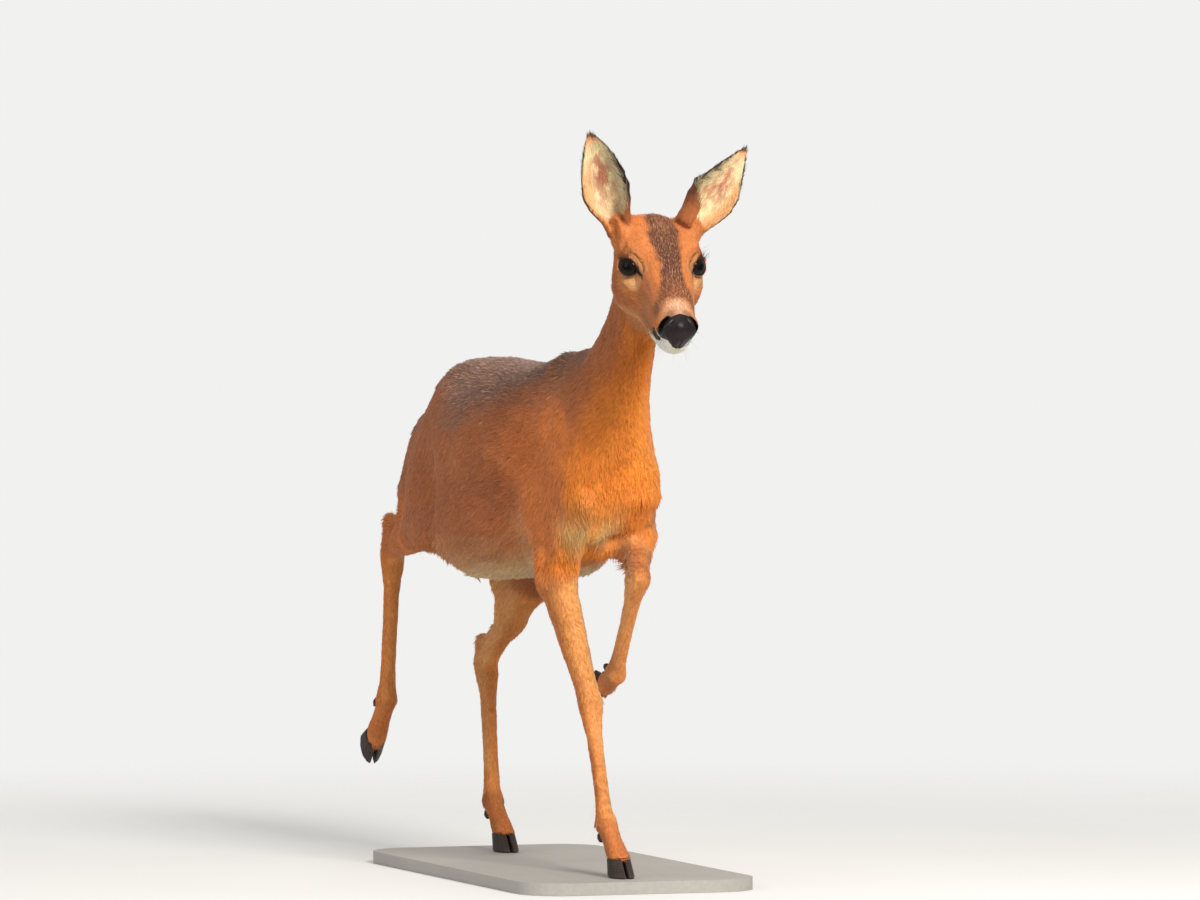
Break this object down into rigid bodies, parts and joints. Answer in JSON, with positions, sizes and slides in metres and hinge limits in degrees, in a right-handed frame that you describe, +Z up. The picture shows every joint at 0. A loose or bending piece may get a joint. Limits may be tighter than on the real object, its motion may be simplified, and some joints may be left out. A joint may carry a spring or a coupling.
{
  "type": "roe deer model",
  "caption": "Life-size museum model of a roe deer doe in red summer coat, caught in mid-stride with head raised and ears pricked, standing on a flat base plate.",
  "frame": {"origin": "centre of the bounding box in X and Y, on the underside of the base plate", "axes": "+Z up; the animal faces -Y; +X is the animal's left"},
  "size_m": [0.32, 1.071, 0.9782],
  "materials": {
    "coat": "short red-brown summer hair, matt with a faint sheen",
    "ear": "pale long hair inside, dark brown backs",
    "nose": "moist black bare skin with a fine grain",
    "eye": "wet gloss, very dark brown",
    "horn": "blackish horn, lightly worn at the edges",
    "base": "plain matt stone-grey painted board"
  },
  "bodies": {
    "root": {"head": "coat", "neck": "coat", "trunk": "coat", "tail": "coat", "nose": "nose", "eye_right": "eye", "eye_left": "eye", "ear_right": "ear", "ear_left": "ear", "thigh_right": "coat", "thigh_left": "coat", "forearm_right": "coat", "fore_cannon_right": "coat", "fore_pastern_right": "coat", "fore_claw_inner_right": "horn", "fore_dewclaw_inner_right": "horn", "fore_claw_outer_right": "horn", "fore_dewclaw_outer_right": "horn", "shank_right": "coat", "hind_cannon_right": "coat", "hind_pastern_right": "coat", "hind_claw_inner_right": "horn", "hind_dewclaw_inner_right": "horn", "hind_claw_outer_right": "horn", "hind_dewclaw_outer_right": "horn", "forearm_left": "coat", "fore_cannon_left": "coat", "fore_pastern_left": "coat", "fore_claw_inner_left": "horn", "fore_dewclaw_inner_left": "horn", "fore_claw_outer_left": "horn", "fore_dewclaw_outer_left": "horn", "shank_left": "coat", "hind_cannon_left": "coat", "hind_pastern_left": "coat", "hind_claw_inner_left": "horn", "hind_dewclaw_inner_left": "horn", "hind_claw_outer_left": "horn", "hind_dewclaw_outer_left": "horn", "stand_base": "base"}
  },
  "joints": []
}
